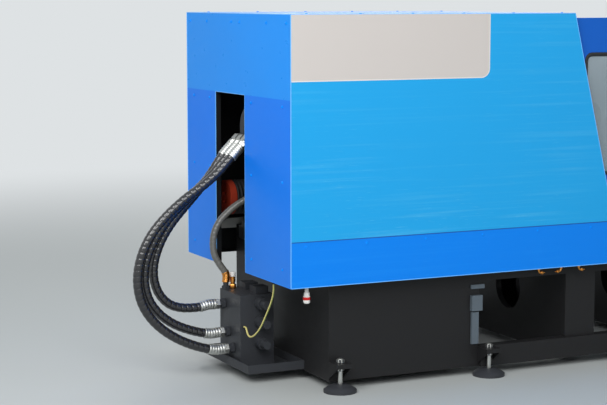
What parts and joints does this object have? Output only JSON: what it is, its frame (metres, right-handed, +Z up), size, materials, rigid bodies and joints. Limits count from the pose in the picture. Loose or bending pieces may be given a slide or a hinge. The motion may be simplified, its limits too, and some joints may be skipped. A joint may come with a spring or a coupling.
{
  "type": "injection moulding machine",
  "caption": "Horizontal toggle-clamp injection moulding machine: covered clamp end with external hoses, sliding safety doors, platens, plasticising unit with hopper, on levelling feet.",
  "frame": {"origin": "middle of the footprint of the rigid parts, on the floor", "axes": "+X along the machine from the clamp end to the injection end, -Y towards the operator, +Z up"},
  "size_m": [6.982, 1.5858, 2.3743],
  "materials": {
    "bed_paint": "satin black paint",
    "cover_paint": "bright blue paint",
    "side_paint": "light blue sheet",
    "skirt_paint": "saturated blue paint",
    "rail_paint": "light grey paint",
    "dark_paint": "dark grey paint",
    "casting_paint": "grey casting paint",
    "machined_steel": "ground steel",
    "link_steel": "cast links",
    "chromed_rod": "hard chromed rod",
    "fitting_steel": "zinc plated fittings",
    "rubber_black": "black rubber",
    "disc_red": "red orange paint",
    "gauge_grey": "grey blue",
    "bronze": "bronze shoes",
    "cream_paint": "cream paint",
    "hopper_steel": "brushed sheet",
    "heater_sheet": "tinted heater bands",
    "guard_yellow": "yellow paint",
    "pane": "clear pane",
    "button_red": "red plastic",
    "wire_insulation": "yellow and green insulation"
  },
  "bodies": {
    "base": {"bed_side_beams": "bed_paint", "bed_cross_members": "bed_paint", "bed_ways": "machined_steel", "injection_bed": "bed_paint", "levelling_feet": "dark_paint", "oil_gauge": "gauge_grey", "drip_tray": "dark_paint", "oil_tank": "dark_paint", "pump_set": "dark_paint", "manifold_block": "dark_paint", "cover_posts": "dark_paint", "door_rails": "rail_paint", "end_header": "cover_paint", "end_legs": "cover_paint", "front_side_cover": "side_paint", "rear_side_cover": "side_paint", "side_skirts": "skirt_paint", "top_cover": "cover_paint", "fixed_platen": "casting_paint", "tie_bars": "machined_steel", "tie_bar_nuts": "link_steel", "tie_bar_end_discs": "disc_red", "clamp_hose_1": "rubber_black", "clamp_hose_2": "rubber_black", "clamp_hose_3": "rubber_black", "slot_hose": "rubber_black", "earth_wire": "wire_insulation", "tie_bar_bellows": "rubber_black"},
    "tail_unit": {"tail_platen": "casting_paint", "clamp_cylinder": "dark_paint", "hose_fittings": "fitting_steel", "height_nuts": "link_steel", "tail_pins": "machined_steel"},
    "upper_rear_link": {"upper_rear_links": "link_steel"},
    "lower_rear_link": {"lower_rear_links": "link_steel"},
    "upper_front_link": {"upper_front_links": "link_steel"},
    "lower_front_link": {"lower_front_links": "link_steel"},
    "upper_crosshead_link": {"upper_crosshead_links": "link_steel"},
    "lower_crosshead_link": {"lower_crosshead_links": "link_steel"},
    "crosshead_unit": {"crosshead": "casting_paint", "piston_rod": "chromed_rod"},
    "moving_platen_unit": {"moving_platen": "casting_paint", "front_pins": "machined_steel", "platen_shoes": "bronze", "ejector_cylinder": "dark_paint"},
    "ejector": {"ejector_plate": "machined_steel"},
    "front_door_unit": {"front_door": "cover_paint", "front_window": "pane"},
    "rear_door_unit": {"rear_door": "cover_paint"},
    "carriage": {"injection_carriage": "cream_paint", "barrel": "machined_steel", "heater_bands": "heater_sheet", "barrel_guard": "cream_paint", "hopper": "hopper_steel"},
    "hopper_lid_unit": {"hopper_lid": "hopper_steel"},
    "drive": {"drive_plate": "dark_paint"},
    "screw_unit": {"screw": "machined_steel"},
    "purge_guard_unit": {"purge_guard": "guard_yellow"},
    "panel_unit": {"control_panel": "cream_paint"},
    "estop": {"estop_button": "button_red"}
  },
  "joints": [
    {"name": "mould_height", "type": "slide", "parent": "base", "child": "tail_unit", "axis": [-1, 0, 0], "range_m": [0, 0.3], "deforming": ["tie_bar_bellows", "clamp_hose_1", "clamp_hose_2", "clamp_hose_3", "slot_hose"]},
    {"name": "toggle_fold", "type": "hinge", "parent": "tail_unit", "child": "upper_rear_link", "pos_m": [-2.07, 0, 1.78], "axis": [0, 1, 0], "range_deg": [0, 76]},
    {"name": "upper_elbow", "type": "hinge", "parent": "upper_rear_link", "child": "upper_front_link", "pos_m": [-1.79, 0, 1.78], "axis": [0, 1, 0], "range_deg": [-152, 0]},
    {"name": "upper_front_pivot", "type": "hinge", "parent": "upper_front_link", "child": "moving_platen_unit", "pos_m": [-1.51, 0, 1.78], "axis": [0, 1, 0], "range_deg": [0, 76]},
    {"name": "lower_rear_pivot", "type": "hinge", "parent": "tail_unit", "child": "lower_rear_link", "pos_m": [-2.07, 0, 1.08], "axis": [0, 1, 0], "range_deg": [-76, 0]},
    {"name": "lower_elbow", "type": "hinge", "parent": "lower_rear_link", "child": "lower_front_link", "pos_m": [-1.79, 0, 1.08], "axis": [0, 1, 0], "range_deg": [0, 152]},
    {"name": "upper_crosshead_pivot", "type": "hinge", "parent": "upper_rear_link", "child": "upper_crosshead_link", "pos_m": [-1.93, 0, 1.78], "axis": [0, 1, 0], "range_deg": [-152, 0]},
    {"name": "crosshead_pin", "type": "hinge", "parent": "upper_crosshead_link", "child": "crosshead_unit", "pos_m": [-1.79, 0, 1.78], "axis": [0, 1, 0], "range_deg": [0, 76]},
    {"name": "lower_crosshead_pivot", "type": "hinge", "parent": "lower_rear_link", "child": "lower_crosshead_link", "pos_m": [-1.93, 0, 1.08], "axis": [0, 1, 0], "range_deg": [0, 152]},
    {"name": "ejector_push", "type": "slide", "parent": "moving_platen_unit", "child": "ejector", "axis": [1, 0, 0], "range_m": [0, 0.1]},
    {"name": "front_door_slide", "type": "slide", "parent": "base", "child": "front_door_unit", "axis": [-1, 0, 0], "range_m": [0, 0.65]},
    {"name": "rear_door_slide", "type": "slide", "parent": "base", "child": "rear_door_unit", "axis": [-1, 0, 0], "range_m": [0, 0.65]},
    {"name": "carriage_slide", "type": "slide", "parent": "base", "child": "carriage", "axis": [-1, 0, 0], "range_m": [0, 0.35]},
    {"name": "injection", "type": "slide", "parent": "carriage", "child": "drive", "axis": [1, 0, 0], "range_m": [0, 0.25]},
    {"name": "screw_spin", "type": "hinge", "parent": "drive", "child": "screw_unit", "pos_m": [1.57, 0, 1.43], "axis": [1, 0, 0], "continuous": true},
    {"name": "hopper_lid_hinge", "type": "hinge", "parent": "carriage", "child": "hopper_lid_unit", "pos_m": [1.47, 0.312, 2.338], "axis": [-1, 0, 0], "range_deg": [0, 100]},
    {"name": "purge_guard_hinge", "type": "hinge", "parent": "base", "child": "purge_guard_unit", "pos_m": [-0.378, 0, 1.665], "axis": [0, -1, 0], "range_deg": [0, 75]},
    {"name": "panel_swivel", "type": "hinge", "parent": "base", "child": "panel_unit", "pos_m": [-0.325, -0.69, 1.6], "axis": [0, 0, -1], "range_deg": [0, 90]},
    {"name": "estop_push", "type": "slide", "parent": "panel_unit", "child": "estop", "axis": [0, 1, 0], "range_m": [0, 0.006], "stiffness_N_per_m": 800}
  ],
  "couplings": [
    {"joint": "upper_elbow", "follows": "toggle_fold", "ratio": -2},
    {"joint": "upper_front_pivot", "follows": "toggle_fold", "ratio": 1},
    {"joint": "lower_rear_pivot", "follows": "toggle_fold", "ratio": -1},
    {"joint": "lower_elbow", "follows": "toggle_fold", "ratio": 2},
    {"joint": "upper_crosshead_pivot", "follows": "toggle_fold", "ratio": -2},
    {"joint": "crosshead_pin", "follows": "toggle_fold", "ratio": 1},
    {"joint": "lower_crosshead_pivot", "follows": "toggle_fold", "ratio": 2}
  ]
}
